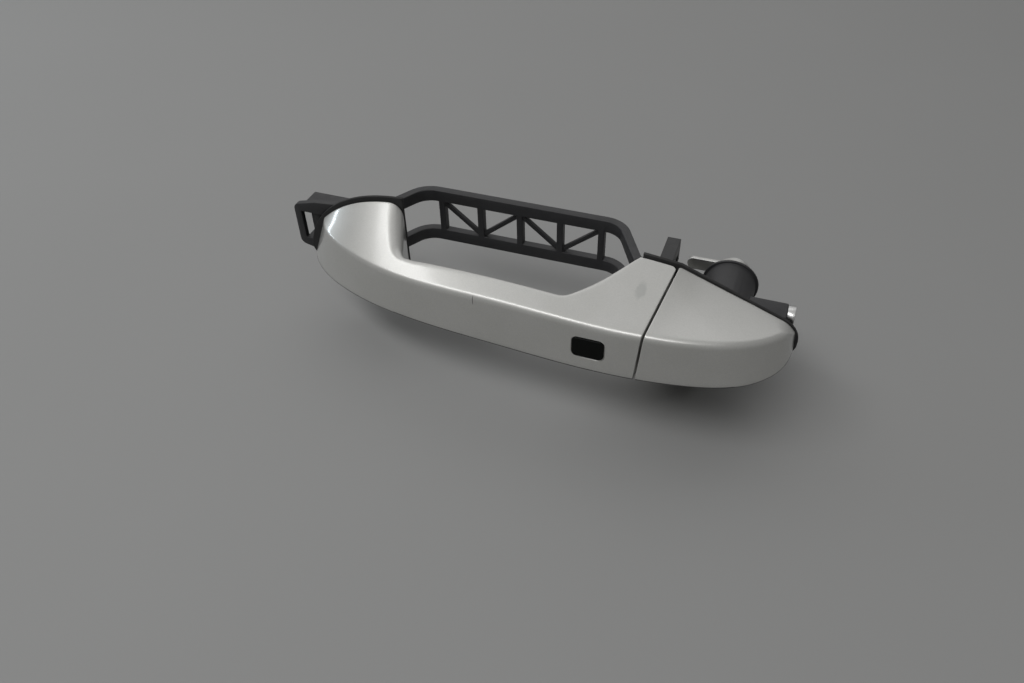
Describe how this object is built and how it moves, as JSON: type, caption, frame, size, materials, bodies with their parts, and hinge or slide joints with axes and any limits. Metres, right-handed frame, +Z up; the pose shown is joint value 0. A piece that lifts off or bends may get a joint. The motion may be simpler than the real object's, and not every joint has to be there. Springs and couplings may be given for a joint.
{
  "type": "exterior car door handle",
  "caption": "Pull-type exterior door handle with painted grip and cap, request button, pads and the carrier with its bell crank behind the door skin.",
  "frame": {"origin": "midway between the carrier's two bolt holes, on the carrier's seat against the inside of the door skin", "axes": "+X towards the rear of the car along the handle, +Y into the door, +Z up"},
  "size_m": [0.2387, 0.0742, 0.074],
  "materials": {
    "paint": "warm silver pearl under clear coat",
    "black_plastic": "fine grained moulding",
    "button": "smooth black",
    "pad_rubber": "matt moulded rubber",
    "carrier_plastic": "glass filled moulding",
    "zinc": "die cast, satin",
    "steel": "plated",
    "crank_plastic": "natural acetal",
    "spring_steel": "bare spring wire"
  },
  "bodies": {
    "carrier": {"carrier": "carrier_plastic", "cap": "paint", "front_pad": "pad_rubber", "rear_pad": "pad_rubber", "lock_cylinder": "zinc", "lock_tail": "zinc", "fixing_screw": "steel", "crank_pin": "steel", "return_spring": "spring_steel"},
    "grip": {"grip_shell": "paint", "grip_back": "black_plastic", "request_button": "button"},
    "crank": {"bell_crank": "crank_plastic", "counterweight": "zinc"}
  },
  "joints": [
    {"name": "handle_pull", "type": "hinge", "parent": "carrier", "child": "grip", "pos_m": [-0.115, 0.0062, 0.028], "axis": [0, 0, -1], "range_deg": [0, 7.7], "stiffness_Nm_per_rad": 4},
    {"name": "crank_turn", "type": "hinge", "parent": "carrier", "child": "crank", "pos_m": [0.058, 0.0115, 0.0025], "axis": [1, 0, 0], "range_deg": [0, 47.74], "deforming": ["return_spring"]}
  ],
  "couplings": [
    {"joint": "crank_turn", "follows": "handle_pull", "ratio": 6.2}
  ]
}
